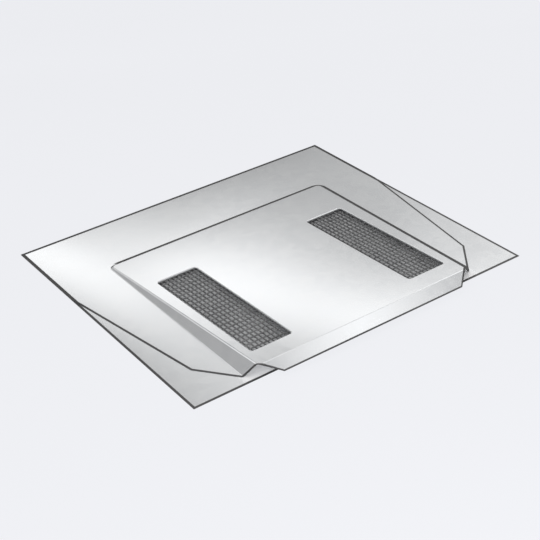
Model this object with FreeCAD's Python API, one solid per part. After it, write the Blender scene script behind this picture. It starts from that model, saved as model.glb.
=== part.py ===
import FreeCAD, Part

import math
import os

# Low profile roof vent of galvanised sheet steel, in millimetres.
# A flat base flashing lies on the roof deck, and a cover of the same width lies on it. The cover's
# middle is pressed up into a shallow hood that rises towards the eave. Two long screened openings
# in the hood let the air out, and the lip at its front sheds the rain past the base's front edge.
# X runs along the eave, Y up the roof, and Z away from the deck.
# The origin is the centre of the base flashing's underside.

sheet = 0.55  # 26 gauge galvanised sheet

# Base flashing
base_width = 610.0
base_depth = 533.0
throat_width = 200.0  # the hole that stands over the hole in the deck
throat_depth = 180.0
throat_setback = 72.0  # from the base's front edge to the throat
throat_notch = 3.5  # how far the cut-out at each of its corners reaches, along and across its edges
collar_rise = 6.0  # how high its edges are folded up, above the base's top face
collar_bend = 1.6  # radius of that fold, on its upper side

# Cover's flange, seen from above
side_straight = 177.0  # length of full width, from the back edge
flange_inset = 44.5  # from the base's side edge to the flange's front corner
flange_setback = 78.0  # from the base's front edge to that corner

# Hood
hood_width = 425.0  # between the feet of its side walls
head_flange = 133.0  # from the cover's back edge to the foot of the hood's back wall
hood_setback = 3.0  # from the base's front edge to the bend at the hood's front
wall_setback = 14.5  # from that bend back to the front end of each side wall's foot
crest_setback = 3.5  # from that bend back to the front end of each side wall's top
rear_rise = 2.5  # height of the hood's back wall
front_rise = 19.0  # height of the side walls at the front
wall_angle = 46.0  # side and back walls, from the horizontal
rear_corner = 13.0
crown_bend = 4.5  # radius of the bends along the hood's top, on the upper side
foot_bend = 2.0  # radius at the walls' feet, on the upper side

# Lip at the hood's front
lip_length = 24.0
lip_angle = 27.0  # below the horizontal
lip_relief = 2.5  # from the side wall's top corner to the end of the lip's root
lip_mitre = 25.5  # how much shorter the lip's edge is than its root, at each end

# Screened openings in the hood
opening_width = 71.0
opening_length = 262.0
opening_corner = 5.0
opening_spacing = 292.0  # between the two openings' middle lines
opening_setback = 36.0  # from the bend at the hood's front to the openings
rim_depth = 2.2  # how far the openings' edges are turned down
rim_bend = 1.5  # radius of that bend, on its upper side

# Welded wire screens
wire = 2.2
weld_sink = 0.5  # how far crossing wires are pressed into each other
cells_across = 10
cells_along = 23
screen_overlap = 5.0  # how far the wires run on past the opening

# What the sizes above give
half_base = base_width / 2
y_front = -base_depth / 2
y_back = base_depth / 2
flange_top = 2 * sheet
half_hood = hood_width / 2
y_hood_front = y_front + hood_setback
y_hood_foot = y_back - head_flange
wall_run = 1 / math.tan(math.radians(wall_angle))  # how far a wall leans in for each mm it rises
y_rear_crest = y_hood_foot - rear_rise * wall_run
hood_pitch = math.degrees(math.atan2(front_rise - rear_rise, y_rear_crest - y_hood_front))
half_crest = half_hood - front_rise * wall_run

# Working values
slack = 60.0  # how far the working solids run past the sheet that is cut from them
touch = 0.01  # how near an edge lies to the face it is looked for on
margin = 0.5  # how far beyond an opening its edges are looked for


def line(a, b, angle):
    """A line in a section: a point on it, and its angle in degrees."""
    return (a, b, math.radians(angle))


def moved_in(section_line, distance):
    """The same line, moved square to itself, to the right of its own direction."""
    a, b, t = section_line
    return (a + distance * math.sin(t), b - distance * math.cos(t), t)


def crossing(first, second):
    """Where two lines of a section meet."""
    a1, b1, t1 = first
    a2, b2, t2 = second
    reach = ((a2 - a1) * math.sin(t2) - (b2 - b1) * math.cos(t2)) / math.sin(t2 - t1)
    return (a1 + reach * math.cos(t1), b1 + reach * math.sin(t1))


def prism(points, direction):
    """The closed outline through the points, pushed along a direction."""
    outline = Part.makePolygon([FreeCAD.Vector(*p) for p in points + points[:1]])
    return Part.Face(outline).extrude(FreeCAD.Vector(*direction))


def rounded_block(width, length, corner, low, high):
    """A block about the Z axis, with its four upright edges rounded."""
    block = Part.makeBox(width, length, high - low, FreeCAD.Vector(-width / 2, -length / 2, low))
    return block.makeFillet(corner, edges_where(block, lambda p, d: abs(d.z) > abs(d.x) + abs(d.y)))


def edges_where(solid, test):
    """The edges whose middle point, and direction from end to end, pass a test."""
    found = []
    for edge in solid.Edges:
        middle = edge.valueAt((edge.FirstParameter + edge.LastParameter) / 2)
        along = edge.valueAt(edge.LastParameter) - edge.valueAt(edge.FirstParameter)
        if along.Length > 0:
            along.normalize()
        if test(middle, along):
            found.append(edge)
    return found


def hood_core(depth):
    """The solid that fills the hood, up to a depth below its outer face."""
    back_wall = moved_in(line(y_hood_foot, flange_top, 180 - wall_angle), -depth)
    top = moved_in(line(y_rear_crest, flange_top + rear_rise, 180 - hood_pitch), -depth)
    lip = moved_in(line(y_hood_front, flange_top + front_rise, 180 + lip_angle), -depth)
    floor = line(0, -slack, 0)
    far_front = line(y_front - slack, 0, 90)
    section = [
        crossing(floor, back_wall),
        crossing(back_wall, top),
        crossing(top, lip),
        crossing(lip, far_front),
        crossing(far_front, floor),
    ]
    lengthwise = prism([(-base_width, y, z) for y, z in section], (2 * base_width, 0, 0))
    side_wall = moved_in(line(half_hood, flange_top, 180 - wall_angle), -depth)
    foot_x = crossing(side_wall, floor)[0]
    head_x = crossing(side_wall, line(0, front_rise + slack, 0))[0]
    y_far = y_front - 2 * slack
    front_section = [
        (-foot_x, y_far, -slack),
        (foot_x, y_far, -slack),
        (head_x, y_far, front_rise + slack),
        (-head_x, y_far, front_rise + slack),
    ]
    core = lengthwise.common(prism(front_section, (0, 2 * base_depth, 0)))
    hips = edges_where(core, lambda p, d: p.y > 0 and p.z < flange_top + rear_rise
                       and abs(abs(d.x) - abs(d.y)) < touch)
    core = core.makeFillet(rear_corner - depth, hips)
    half_way_up = flange_top - depth + rear_rise / 2
    steepest = math.sin(math.radians(wall_angle))
    crown = edges_where(core, lambda p, d: p.z > half_way_up and abs(d.z) < steepest
                        and p.y > y_front - slack + touch)
    return core.makeFillet(crown_bend - depth, crown)


def on_hood_top(shape, x, y):
    """A shape made about the origin, set on the hood's outer face at a place in plan."""
    z = flange_top + rear_rise + (y_rear_crest - y) * math.tan(math.radians(hood_pitch))
    spin = FreeCAD.Rotation(FreeCAD.Vector(1, 0, 0), -hood_pitch)
    placed = shape.copy()
    placed.Placement = FreeCAD.Placement(FreeCAD.Vector(x, y, z), spin)
    return placed


def opening_places():
    """The two openings' middle points in plan, left and right."""
    y = y_hood_front + opening_setback + opening_length / 2 * math.cos(math.radians(hood_pitch))
    return [(-opening_spacing / 2, y), (opening_spacing / 2, y)]


def cover_stock(depth):
    """All that lies under the cover, up to a depth below the sheet's upper face."""
    top = flange_top - depth
    reach = base_width + base_depth
    corner = FreeCAD.Vector(-reach / 2, -reach / 2, top - slack)
    slab = Part.makeBox(reach, reach, slack, corner)
    stock = slab.fuse(hood_core(depth)).removeSplitter()
    feet = edges_where(stock, lambda p, d: abs(p.z - top) < touch and abs(p.x) < half_base
                       and y_front - slack < p.y < y_back)
    stock = stock.makeFillet(foot_bend + depth, feet)
    for x, y in opening_places():
        pocket = rounded_block(
            opening_width + 2 * depth, opening_length + 2 * depth, opening_corner + depth,
            -slack / 2, slack / 2,
        )
        stock = stock.cut(on_hood_top(pocket, x, y))
        reach_x = opening_width / 2 + depth + margin
        reach_y = opening_length / 2 + depth + margin
        mouth = edges_where(stock, lambda p, d: abs(p.x - x) < reach_x and abs(p.y - y) < reach_y
                            and abs(on_top_gap(p, depth)) < touch)
        stock = stock.makeFillet(rim_bend - min(depth, rim_bend / 2), mouth)
    return stock


def on_top_gap(point, depth):
    """How far a point lies above the hood's top face, measured square to it from a depth."""
    slope = math.radians(hood_pitch)
    run = (y_rear_crest - point.y) * math.sin(slope)
    return (point.z - flange_top - rear_rise) * math.cos(slope) - run + depth


def cover_outline():
    """The cover's plan, as a tall solid."""
    half_root = half_crest - lip_relief
    side = [
        (half_base, y_back),
        (half_base, y_back - side_straight),
        (half_base - flange_inset, y_front + flange_setback),
        (half_hood + foot_bend, y_hood_front + wall_setback),
        (half_crest, y_hood_front + crest_setback),
        (half_root, y_hood_front),
        (half_root - lip_mitre, y_hood_front - lip_length * math.cos(math.radians(lip_angle))),
    ]
    mirrored = [(-x, y) for x, y in reversed(side)]
    return prism([(x, y, 0) for x, y in side + mirrored], (0, 0, slack))


def make_vent_cover():
    """One sheet: flange, raised hood, turned-down rims of the openings, and the lip."""
    skin = cover_stock(0).cut(cover_stock(sheet)).common(cover_outline())
    for x, y in opening_places():
        below_rim = rounded_block(
            opening_width + 4 * sheet, opening_length + 4 * sheet, opening_corner + 2 * sheet,
            -slack / 2, -rim_depth,
        )
        skin = skin.cut(on_hood_top(below_rim, x, y))
    return skin


def base_stock(depth):
    """All that lies under the base flashing, up to a depth below the sheet's upper face."""
    top = sheet - depth
    slab = Part.makeBox(base_width, base_depth, slack, FreeCAD.Vector(-half_base, y_front, top - slack))
    half_x = throat_width / 2 + top
    half_y = throat_depth / 2 + top
    y_middle = y_front + throat_setback + throat_depth / 2
    corner = FreeCAD.Vector(-half_x, y_middle - half_y, -slack / 2)
    stock = slab.fuse(Part.makeBox(2 * half_x, 2 * half_y, slack, corner))
    for x in (-throat_width / 2, throat_width / 2):
        for y in (y_middle - throat_depth / 2, y_middle + throat_depth / 2):
            corner = FreeCAD.Vector(x - throat_notch, y - throat_notch, -2 * slack)
            stock = stock.cut(Part.makeBox(2 * throat_notch, 2 * throat_notch, 3 * slack, corner))
    feet = edges_where(stock, lambda p, d: abs(p.z - top) < touch
                       and (abs(abs(p.x) - half_x) < touch or abs(abs(p.y - y_middle) - half_y) < touch))
    return stock.makeFillet(collar_bend + depth, feet)


def make_base_flashing():
    """One sheet: a flat plate with a throat, whose four edges are folded up into a low collar."""
    skin = base_stock(0).cut(base_stock(sheet))
    height = sheet + collar_rise
    keep = Part.makeBox(base_width, base_depth, height, FreeCAD.Vector(-half_base, y_front, 0))
    return skin.common(keep)


def wire_rod(length):
    """A straight wire of six sides along X, about the origin, with two edges on top and below."""
    corners = []
    for k in range(6):
        turn = math.radians(60 * k)
        corners.append((-length / 2, wire / 2 * math.sin(turn), wire / 2 * math.cos(turn)))
    return prism(corners, (length, 0, 0))


def make_screen(x, y):
    """Lengthwise wires under cross wires, welded where they cross, hung under an opening's rim."""
    width = opening_width + 2 * screen_overlap
    length = opening_length + 2 * screen_overlap
    cross_z = -rim_depth - wire / 2
    long_z = cross_z - wire + weld_sink
    rods = []
    for k in range(cells_along + 1):
        rod = wire_rod(width)
        rod.translate(FreeCAD.Vector(0, (k / cells_along - 0.5) * (opening_length + wire), cross_z))
        rods.append(rod)
    for k in range(cells_across + 1):
        rod = wire_rod(length)
        rod.rotate(FreeCAD.Vector(0, 0, 0), FreeCAD.Vector(0, 0, 1), 90)
        rod.translate(FreeCAD.Vector((k / cells_across - 0.5) * (opening_width + wire), 0, long_z))
        rods.append(rod)
    return on_hood_top(rods[0].multiFuse(rods[1:]), x, y)


left_place, right_place = opening_places()
solids = {
    "base_flashing": make_base_flashing(),
    "vent_cover": make_vent_cover(),
    "screen_left": make_screen(*left_place),
    "screen_right": make_screen(*right_place),
}
os.makedirs("parts", exist_ok=True)
for name, solid in solids.items():
    print(name, "solids:", len(solid.Solids), "sound:", solid.isValid(), "volume:", round(solid.Volume))
    solid.exportStep("parts/" + name + ".step")
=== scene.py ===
import math

import bpy
import numpy as np
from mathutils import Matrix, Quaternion, Vector


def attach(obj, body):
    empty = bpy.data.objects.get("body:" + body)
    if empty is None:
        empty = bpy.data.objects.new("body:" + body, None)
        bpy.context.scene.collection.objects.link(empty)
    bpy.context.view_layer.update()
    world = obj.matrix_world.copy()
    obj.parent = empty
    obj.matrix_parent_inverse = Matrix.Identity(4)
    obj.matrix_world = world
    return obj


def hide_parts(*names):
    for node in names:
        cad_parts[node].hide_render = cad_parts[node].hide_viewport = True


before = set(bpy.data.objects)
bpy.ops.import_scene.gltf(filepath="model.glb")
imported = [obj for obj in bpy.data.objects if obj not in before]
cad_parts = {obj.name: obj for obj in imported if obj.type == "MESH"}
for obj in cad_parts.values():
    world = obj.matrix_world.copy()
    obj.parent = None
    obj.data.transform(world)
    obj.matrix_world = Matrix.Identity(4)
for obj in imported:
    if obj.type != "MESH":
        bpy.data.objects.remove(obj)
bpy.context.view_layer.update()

bpy.context.scene.view_settings.view_transform = "Standard"


# Floor, light and camera
# A pale plain floor in a soft white tent. One tall card stands behind the vent, lit brightest
# along a slanting band, and the sheet mirrors it. The camera stands where the picture was drawn.
class Value:
    """A number or vector socket of a shader. Python's operators on it add Math nodes."""

    def __init__(self, graph, socket):
        self.graph = graph
        self.socket = socket

    def maths(self, operation, *others):
        return self.graph.node("ShaderNodeMath", {"operation": operation}, (self,) + others)

    def __add__(self, other):
        return self.maths("ADD", other)

    def __mul__(self, other):
        return self.maths("MULTIPLY", other)

    def __sub__(self, other):
        return self.maths("SUBTRACT", other)

    def __truediv__(self, other):
        return self.maths("DIVIDE", other)

    def __radd__(self, other):
        return self.graph.number(other).maths("ADD", self)

    def __rmul__(self, other):
        return self.graph.number(other).maths("MULTIPLY", self)

    def __rsub__(self, other):
        return self.graph.number(other).maths("SUBTRACT", self)

    def __neg__(self):
        return self.maths("MULTIPLY", -1.0)

    def __abs__(self):
        return self.maths("ABSOLUTE")

    def least(self, other):
        return self.maths("MINIMUM", other)

    def most(self, other):
        return self.maths("MAXIMUM", other)

    def root(self):
        return self.maths("SQRT")

    def bell(self, *others):
        """1 where this value and the others are 0, and less the further any of them is from it."""
        square = self * self
        for other in others:
            square = square + other * other
        return (-square).maths("EXPONENT")

    def step(self, start, end, low=0.0, high=1.0):
        """Runs smoothly from low at start to high at end, and stays there."""
        settings = {"interpolation_type": "SMOOTHSTEP"}
        return self.graph.node("ShaderNodeMapRange", settings, (self, start, end, low, high))

    def parts(self):
        """The three parts of a vector."""
        split = self.graph.add("ShaderNodeSeparateXYZ", {}, (self,))
        return [Value(self.graph, out) for out in split.outputs]


class Graph:
    """The node tree of a material or of the sky."""

    def __init__(self, owner):
        owner.use_nodes = True
        self.tree = owner.node_tree
        self.tree.nodes.clear()

    def add(self, kind, settings, inputs):
        """A node of a kind: its settings first, then its inputs in order or by name."""
        node = self.tree.nodes.new(kind)
        for name, value in settings.items():
            setattr(node, name, value)
        named = inputs.items() if isinstance(inputs, dict) else enumerate(inputs)
        for name, value in named:
            if isinstance(value, Value):
                self.tree.links.new(value.socket, node.inputs[name])
            else:
                node.inputs[name].default_value = value
        return node

    def node(self, kind, settings=(), inputs=(), output=0):
        made = self.add(kind, dict(settings), inputs)
        return Value(self, made.outputs[output])

    def number(self, amount):
        node = self.add("ShaderNodeValue", {}, ())
        node.outputs[0].default_value = amount
        return Value(self, node.outputs[0])

    def place(self):
        return self.node("ShaderNodeTexCoord", output="Object")

    def noise(self, place, scale):
        return self.node("ShaderNodeTexNoise", inputs={"Vector": place, "Scale": scale}, output="Fac")

    def blend(self, amount, first, second):
        """A colour between two others, by an amount from 0 to 1."""
        made = self.add("ShaderNodeMix", {"data_type": "RGBA"}, {"Factor": amount})
        colours = [socket for socket in made.inputs if socket.type == "RGBA"]
        for socket, value in zip(colours, (first, second)):
            if isinstance(value, Value):
                self.tree.links.new(value.socket, socket)
            else:
                socket.default_value = value
        result = [socket for socket in made.outputs if socket.type == "RGBA"][0]
        return Value(self, result)

    def finish(self, shader, kind="ShaderNodeOutputMaterial"):
        self.add(kind, {}, {"Surface": shader})


camera_lens = 83.22
camera_sensor = 36.0
camera_place = Vector((-0.94696, -1.44748, 1.03551))
camera_aim = Vector((-0.0188, -0.042, 0.0))
camera_roll = math.radians(-3.88)

camera = bpy.data.objects.new("camera", bpy.data.cameras.new("camera"))
camera.data.lens = camera_lens
camera.data.sensor_width = camera_sensor
camera.location = camera_place
camera.rotation_mode = "QUATERNION"
turn = (camera_aim - camera_place).to_track_quat("-Z", "Y")
camera.rotation_quaternion = turn @ Quaternion((0, 0, 1), camera_roll)
bpy.context.scene.collection.objects.link(camera)
bpy.context.scene.camera = camera


def flat_card(name, corners):
    """A four-sided piece of the stage, and the graph of its material."""
    mesh = bpy.data.meshes.new(name)
    mesh.from_pydata(corners, [], [(0, 1, 2, 3)])
    card = bpy.data.objects.new(name, mesh)
    bpy.context.scene.collection.objects.link(card)
    material = bpy.data.materials.new(name)
    mesh.materials.append(material)
    return card, Graph(material)


# The floor glows for the camera and in mirrors, except under the vent, and keeps its shadow.
floor_reach = 30.0
floor_drop = -0.0004
floor_paint = (0.78, 0.79, 0.82, 1)
floor_glow = (0.86, 0.868, 0.902, 1)
glow_share = 0.93
vent_half_width = 0.3
vent_half_depth = 0.26
floor, graph = flat_card("floor", [
    (-floor_reach, -floor_reach, floor_drop),
    (floor_reach, -floor_reach, floor_drop),
    (floor_reach, floor_reach, floor_drop),
    (-floor_reach, floor_reach, floor_drop),
])
seen = graph.node("ShaderNodeLightPath", output="Is Camera Ray")
for ray in ("Is Glossy Ray", "Is Transmission Ray"):
    seen = seen.most(graph.node("ShaderNodeLightPath", output=ray))
x, y, z = graph.place().parts()
open_floor = (abs(x) - vent_half_width).most(abs(y) - vent_half_depth).step(0.0, 0.005)
paint = graph.node("ShaderNodeBsdfDiffuse", inputs={"Color": floor_paint})
glow = graph.node("ShaderNodeEmission", inputs={"Color": floor_glow, "Strength": 1.0})
graph.finish(graph.node("ShaderNodeMixShader", inputs=(seen * open_floor * glow_share, paint, glow)))

# The card: along runs left to right on it, and up is the height above the floor.
card_colour = (1.0, 0.997, 0.985, 1)
card_turn = math.radians(33.0)
card_distance = 0.9
card_low = 0.16
card_high = 1.25
card_left = -0.80
card_right = 0.85
toward = Vector((math.sin(card_turn), math.cos(card_turn), 0))
rightward = Vector((math.cos(card_turn), -math.sin(card_turn), 0))
card_foot = toward * card_distance
card, graph = flat_card("bright_card", [
    card_foot + rightward * card_left + Vector((0, 0, card_low)),
    card_foot + rightward * card_right + Vector((0, 0, card_low)),
    card_foot + rightward * card_right + Vector((0, 0, card_high)),
    card_foot + rightward * card_left + Vector((0, 0, card_high)),
])
card.visible_camera = False
x, y, up = graph.place().parts()
along = x * rightward.x + y * rightward.y


def card_spot(middle_along, middle_up, width, height):
    """A soft round patch of the card, 1 in its middle."""
    return ((along - middle_along) / width).bell((up - middle_up) / height)


# Its tone: lighter to the right and darker upwards, with a slanting bright band, a dark far side,
# one bright patch low on its left, and a darker and a lighter patch for the sheet's two sides.
level = 1.63 + 1.65 * along - 0.73 * up
level = level + 1.29 * (6.44 * up - 2.5 * along - 4.08).bell()
level = level - 1.45 * (23.0 * along - 31.6 * up + 26.5).step(-3.2, 3.2)
level = level + 0.79 * card_spot(-0.16, 0.43, 0.37, 0.22)
level = level - 0.11 * card_spot(-0.08, 0.9, 0.15, 0.12)
level = level + 0.12 * card_spot(0.4, 0.52, 0.08, 0.07)
graph.finish(graph.node("ShaderNodeEmission", inputs={"Color": card_colour, "Strength": level}))

# The tent: dark near the floor, middle grey round the sides, bright in front and high behind,
# and one soft light overhead that the lip mirrors.
tent_colour = (1.0, 0.998, 0.99, 1)
world = bpy.data.worlds.new("tent")
bpy.context.scene.world = world
graph = Graph(world)
x, y, z = graph.node("ShaderNodeTexCoord", output="Generated").parts()
sides = z.step(0.02, 0.22)
left = (-x).step(0.25, 0.45) * y.step(0.3, 0.6)
front = (-y).step(0.25, 0.6) * z.step(0.15, 0.6)
behind = z.step(0.45, 0.62) * y.step(0.05, 0.3)
roof = z.step(0.7, 0.8)
overhead = ((x - 0.51) / 0.05).bell() * roof * y.step(0.3, 0.1)
level = 0.12 + 0.38 * sides - 0.13 * left + 0.3 * front + 0.5 * behind - 0.17 * roof + 1.1 * overhead
tent = graph.node("ShaderNodeBackground", inputs={"Color": tent_colour, "Strength": level})
graph.finish(tent, "ShaderNodeOutputWorld")


def softbox(name, place, size, watts):
    """A square lamp that faces the vent. The sheet doesn't mirror it."""
    lamp = bpy.data.lights.new(name, "AREA")
    lamp.size = size
    lamp.energy = watts
    holder = bpy.data.objects.new(name, lamp)
    holder.location = place
    holder.rotation_euler = (-holder.location).to_track_quat("-Z", "Y").to_euler()
    holder.visible_glossy = False
    bpy.context.scene.collection.objects.link(holder)


softbox("left_softbox", (-1.6, -0.4, 1.6), size=2.1, watts=12.5)
softbox("low_softbox", (-0.5, -1.6, 0.45), size=0.8, watts=30.0)


# Base flashing
# The flat sheet that is nailed to the roof deck: bright hot-dipped steel, sheared to size, grey
# along its cut edges, and dull where the hood keeps it from wind and rain. The dull zinc is painted
# lighter towards the hood's mouth, a painted light in the hood's shade.
def node_box(node):
    """The least and the greatest x, y and z of a CAD piece."""
    corners = np.array(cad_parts[node].bound_box)
    return corners.min(axis=0).tolist(), corners.max(axis=0).tolist()


base_half_width, base_half_depth = node_box("base_flashing")[1][:2]
hood_setback = 0.003  # how far the hood's front is from the sheet's front edge
head_flange = 0.133  # how far the hood's back is from the sheet's back edge
hood_half_width = 0.2125
hood_front = -base_half_depth + hood_setback
hood_back = base_half_depth - head_flange
lit_mouth_depth = 0.08  # how far back from the hood's front the dull zinc is painted lighter, a painted light in the hood's shade
drip = 0.01  # how far the dull zinc runs out past the hood's sides
dull_fade = 0.012  # how far inside its edge the zinc is fully dull
base_edge = 0.004  # how wide its dark edge is
edge_blur = 0.0005
zinc_tones = (0.795, 0.81, 0.835, 1), (0.86, 0.872, 0.89, 1)
# dull zinc under the hood, and a lighter tone painted at its mouth as painted light where the hood
# shades it
dull_and_lit_mouth_tones = (0.69, 0.7, 0.71, 1), (0.86, 0.86, 0.87, 1)
# the cut edges' grey, also used for a line of painted shade in the crook at the hood's foot
edge_grey_and_shade_tones = (0.03, 0.03, 0.032, 1), (0.075, 0.073, 0.073, 1)
# painted shade that dims the flange behind the hood
flange_shade_tone = (0.2, 0.2, 0.2, 1)


def galvanised(name, edge_gap, edge_width, dull=None, shade_line=None, dimming=None):
    """Bright zinc. edge_gap is how far a point in plan is from the sheet's cut edge, which is dark
    for edge_width. dull is 1 where the zinc has no shine, and the dull zinc is painted lighter
    towards the hood's mouth as painted light. The next mask is 1 where a line of painted shade
    darkens the zinc, and the last is how much of the zinc a patch of painted shade darkens."""
    material = bpy.data.materials.new(name)
    graph = Graph(material)
    place = graph.place()
    x, y, z = place.parts()
    spangle = graph.node("ShaderNodeTexVoronoi", {}, {"Vector": place, "Scale": 70.0}, "Color")
    grain = graph.node("ShaderNodeSeparateColor", {}, (spangle,))
    cloud = graph.noise(place, 9.0)
    rolled = graph.node("ShaderNodeMapping", {}, {"Vector": place, "Scale": (3, 90, 3)})
    streak = graph.noise(rolled, 6.0)
    zinc = graph.blend(grain * 0.5 + cloud * 0.5, *zinc_tones)
    roughness = 0.14 + 0.02 * grain + 0.02 * streak
    metallic = 0.9
    if dull is not None:
        still = dull(x, y)
        # painted light: the dull zinc turns lighter towards the hood's mouth, which the hood shades
        painted_mouth_light = y.step(hood_front + lit_mouth_depth, hood_front)
        zinc = graph.blend(still, zinc, graph.blend(painted_mouth_light, *dull_and_lit_mouth_tones))
        roughness = roughness + 0.45 * still
        metallic = metallic - 0.7 * still
    # painted shade: a dark tone dims the zinc's shine where the patch lies
    if dimming is not None:
        zinc = graph.blend(dimming(x, y), zinc, flange_shade_tone)
    dark = edge_gap(x, y).step(edge_width - edge_blur, edge_width + edge_blur, 1.0, 0.0)
    # painted shade: a dark line in the crook is laid in with the cut edges' grey
    if shade_line is not None:
        dark = dark.most(shade_line(x, y))
    bump = graph.node("ShaderNodeBump", {}, {"Strength": 0.025, "Distance": 0.0001, "Height": streak})
    graph.finish(graph.node("ShaderNodeBsdfPrincipled", {}, {
        "Base Color": graph.blend(dark, zinc, graph.blend(cloud, *edge_grey_and_shade_tones)),
        "Metallic": metallic * (1.0 - 0.7 * dark),
        "Roughness": roughness.most(0.4 * dark),
        "Normal": bump,
    }))
    return material


def dress(node, material):
    """The CAD piece wears the material in all its slots."""
    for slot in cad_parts[node].material_slots:
        slot.material = material


def base_edge_gap(x, y):
    """The nearer of the gaps to the sides and to the front and back."""
    return (base_half_width - abs(x)).least(base_half_depth - abs(y))


def under_hood(x, y):
    """1 well inside the dull zinc's edge, which lies outside the hood's sides by the drip."""
    gap = (hood_half_width + drip - abs(x)).least(hood_back - y)
    return gap.step(0.0, dull_fade)


dress("base_flashing", galvanised("base_zinc", base_edge_gap, base_edge, dull=under_hood))


# Vent cover
# One sheet of the same coil, pressed up into the hood in one stroke. Its outline is cut first, so
# the grey cut edge runs round the flange, down the slanted corners and along the lip.
side_straight = 0.177  # how far the flange has its full width, from the back
flange_inset = 0.0445
flange_setback = 0.078
foot_bend = 0.002
wall_setback = 0.0145
crest_setback = 0.0035
front_rise = 0.019
rear_rise = 0.0025
wall_run = 1 / math.tan(math.radians(46.0))  # how far a wall leans in as it rises
lip_inset = 0.028  # how much the lip's edge is shorter than the hood's top, at each end
lip_end = node_box("vent_cover")[0][1]
crest_half_width = hood_half_width - front_rise * wall_run
cover_side = [
    (base_half_width, base_half_depth - side_straight),
    (base_half_width - flange_inset, -base_half_depth + flange_setback),
    (hood_half_width + foot_bend, hood_front + wall_setback),
    (crest_half_width, hood_front + crest_setback),
]
lip_side = [cover_side[-1], (crest_half_width - lip_inset, lip_end)]
cover_edge = 0.0032
shared_edge = 0.0022  # how much wider it is where both sheets end together
lip_seam = 0.01  # how far the lip's outline runs back under the hood's
lip_trim = 0.0012  # how much narrower its dark edge is
foot_corner = 0.013
# A line of painted shade in the crook at the hood's foot, behind the hood and down its right side.
crook_reach = 0.0058
crook_spread = 0.008  # how much further the painted shade reaches, for each unit towards the front
crook_left = -0.2  # where it starts behind the hood
# A soft patch of painted shade on the flange behind the hood.
flange_shade_x = -0.07
flange_shade_y = 0.18
flange_shade_reach = 0.1
flange_shade_most = 0.22


def gap_to_line(x, y, start, end):
    """How far a point lies to the right of a line."""
    run = Vector(end) - Vector(start)
    run.normalize()
    return (x - start[0]) * run.y - (y - start[1]) * run.x


def cover_edge_gap(x, y):
    """Inside the flange and hood, or inside the lip: the wider of the two gaps. The grey is wider
    where both sheets end together, along the back and the straight sides."""
    x = abs(x)
    flange = (base_half_depth - y).least(base_half_width - x) - shared_edge
    flange = flange.least(y - hood_front)
    for start, end in zip(cover_side, cover_side[1:]):
        flange = flange.least(gap_to_line(x, y, start, end))
    lip = gap_to_line(x, y, *lip_side).least(y - lip_end).least(hood_front + lip_seam - y)
    return flange.most(lip + lip_trim)


def painted_crook_shade(x, y):
    """A thin line of painted shade in the crook at the hood's foot, behind it and down its right
    side. The foot is a rectangle with rounded back corners."""
    out_x = (abs(x) - hood_half_width + foot_corner).most(0.0)
    out_y = (y - hood_back + foot_corner).most(0.0)
    gap = (out_x * out_x + out_y * out_y).root() - foot_corner
    reach = crook_reach + (hood_back - y) * crook_spread
    line = gap.step(0.0, 0.0008) * (reach - gap).step(0.0, 0.001)
    behind = y.step(hood_back - 0.02, hood_back - 0.005)
    behind = behind * x.step(crook_left - 0.005, crook_left + 0.005)
    right_side = x.step(0.0, 0.05)
    return line * behind.most(right_side)


def painted_flange_shade(x, y):
    """A soft patch of painted shade on the flange behind the hood, which dims the zinc there."""
    behind = y.step(hood_back - 0.002, hood_back + 0.002)
    return flange_shade_most * behind * ((x - flange_shade_x) / flange_shade_reach).bell((y - flange_shade_y) / flange_shade_reach)


# the cover's zinc, with painted shade in the crook at the hood's foot and on the flange behind the
# hood
cover_zinc = galvanised("cover_zinc", cover_edge_gap, cover_edge, shade_line=painted_crook_shade, dimming=painted_flange_shade)
dress("vent_cover", cover_zinc)


# Screens
# Welded wire cloth cut from a roll: straight dark wires, lengthwise ones under cross ones, fused
# where they cross with a little squeezed-out metal, their ends left as they were snipped.
wire_radius = 0.0011
wire_sides = 12
wire_bevel = 0.3  # how deep the snipped ends' bevel is and how much it takes off, of the radius
weld_sink = 0.0005
weld_radius = 0.0012
weld_height = 0.0007
weld_sides = 8
weld_rings = 3
cells_across = 10
cells_along = 23
opening_width = 0.071
opening_length = 0.262
opening_spacing = 0.292
opening_setback = 0.036
rim_depth = 0.0022
screen_overlap = 0.005
flange_top = 0.0011  # two sheets of 0.55 mm
crest_back = hood_back - rear_rise * wall_run  # where the hood's top starts at the back
screen_pitch = math.atan2(front_rise - rear_rise, crest_back - hood_front)
screen_y = hood_front + opening_setback + opening_length / 2 * math.cos(screen_pitch)
screen_z = flange_top + rear_rise + (crest_back - screen_y) * math.tan(screen_pitch)
screen_places = {"screen_left": -opening_spacing / 2, "screen_right": opening_spacing / 2}
wire_tones = (0.11, 0.11, 0.115, 1), (0.2, 0.2, 0.205, 1)


def ring_faces(rings, around):
    """Four-sided faces that join each ring of points to the next ring."""
    k = np.arange(around)
    following = np.roll(k, -1)
    first = np.stack([k, following, following + around, k + around], axis=-1)
    starts = around * np.arange(rings - 1)
    return (first + starts[:, None, None]).reshape(-1, 4).tolist()


def wire_rod_mesh(start, end):
    """A round wire from start to end: circles carried along a line, closed by a disc with a
    small snipped bevel at each end."""
    start, end = np.array(start), np.array(end)
    along = (end - start) / np.linalg.norm(end - start)
    side = np.cross(along, (0.0, 0.0, 1.0))
    up = np.cross(side, along)
    turn = np.linspace(0, 2 * np.pi, wire_sides, endpoint=False)
    ring = np.cos(turn)[:, None] * side + np.sin(turn)[:, None] * up
    bevel = along * wire_radius * wire_bevel
    middles = np.stack([start, start + bevel, end - bevel, end])
    radii = wire_radius * np.array([1 - wire_bevel, 1.0, 1.0, 1 - wire_bevel])
    points = (middles[:, None] + radii[:, None, None] * ring).reshape(-1, 3)
    last = len(points) - wire_sides
    discs = [list(range(wire_sides))[::-1], list(range(last, len(points)))]
    return points, ring_faces(len(middles), wire_sides) + discs


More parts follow.
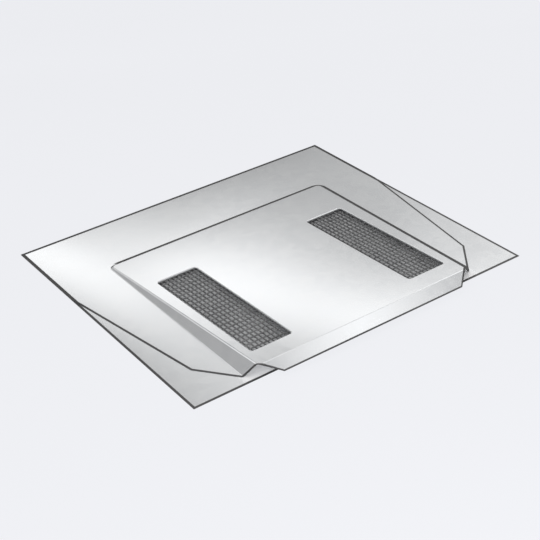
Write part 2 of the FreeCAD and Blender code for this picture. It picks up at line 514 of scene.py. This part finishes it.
def weld_mesh(place):
    """The squeezed-out metal at a crossing: a flattened ball."""
    turn = np.linspace(0, 2 * np.pi, weld_sides, endpoint=False)
    rise = np.linspace(-np.pi / 2, np.pi / 2, weld_rings + 2)[1:-1]
    rise, turn = np.meshgrid(rise, turn, indexing="ij")
    ball = np.stack([
        weld_radius * np.cos(rise) * np.cos(turn),
        weld_radius * np.cos(rise) * np.sin(turn),
        weld_height * np.sin(rise),
    ], axis=-1).reshape(-1, 3)
    poles = np.array([(0, 0, -weld_height), (0, 0, weld_height)])
    points = np.concatenate([ball, poles]) + np.array(place)
    k = np.arange(weld_sides)
    following = np.roll(k, -1)
    last = len(ball) - weld_sides
    bottom = np.stack([following, k, np.full(weld_sides, len(ball))], axis=-1)
    top = np.stack([last + k, last + following, np.full(weld_sides, len(ball) + 1)], axis=-1)
    return points, ring_faces(weld_rings, weld_sides) + bottom.tolist() + top.tolist()


def make_screen(name, x):
    """Cross wires, lengthwise wires below them and a weld at each crossing, made flat about the
    origin, then leaned with the hood's top and set below the opening's rim."""
    cross_z = -rim_depth - wire_radius
    long_z = cross_z - 2 * wire_radius + weld_sink
    half_width = opening_width / 2 + screen_overlap
    half_length = opening_length / 2 + screen_overlap
    xs = np.linspace(-0.5, 0.5, cells_across + 1) * (opening_width + 2 * wire_radius)
    ys = np.linspace(-0.5, 0.5, cells_along + 1) * (opening_length + 2 * wire_radius)
    lumps = [wire_rod_mesh((-half_width, b, cross_z), (half_width, b, cross_z)) for b in ys]
    lumps += [wire_rod_mesh((a, -half_length, long_z), (a, half_length, long_z)) for a in xs]
    lumps += [weld_mesh((a, b, (cross_z + long_z) / 2)) for a in xs for b in ys]
    points = np.concatenate([lump_points for lump_points, lump_faces in lumps])
    faces = []
    start = 0
    for lump_points, lump_faces in lumps:
        faces += [[corner + start for corner in face] for face in lump_faces]
        start += len(lump_points)
    c, s = math.cos(screen_pitch), math.sin(screen_pitch)
    leaned = np.stack([
        points[:, 0] + x,
        points[:, 1] * c + points[:, 2] * s + screen_y,
        points[:, 2] * c - points[:, 1] * s + screen_z,
    ], axis=-1)
    mesh = bpy.data.meshes.new(name)
    mesh.from_pydata(leaned.tolist(), [], faces)
    mesh.polygons.foreach_set("use_smooth", [len(face) < 5 for face in faces])
    screen = bpy.data.objects.new(name + "_wires", mesh)
    bpy.context.scene.collection.objects.link(screen)
    return screen


def wire_material():
    """Dark dull steel wire, a little lighter where the weather and the dies rubbed it."""
    material = bpy.data.materials.new("screen_wire")
    graph = Graph(material)
    place = graph.place()
    rubbed = graph.noise(place, 300.0)
    cloud = graph.noise(place, 40.0)
    tone = (rubbed * 0.6 + cloud * 0.4).step(0.35, 0.65)
    graph.finish(graph.node("ShaderNodeBsdfPrincipled", {}, {
        "Base Color": graph.blend(tone, *wire_tones),
        "Metallic": 0.5,
        "Roughness": 0.38 + 0.2 * rubbed,
    }))
    return material


dark_wire = wire_material()
for node, x in screen_places.items():
    screen = make_screen(node, x)
    screen.data.materials.append(dark_wire)
    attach(screen, "root")
    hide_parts(node)
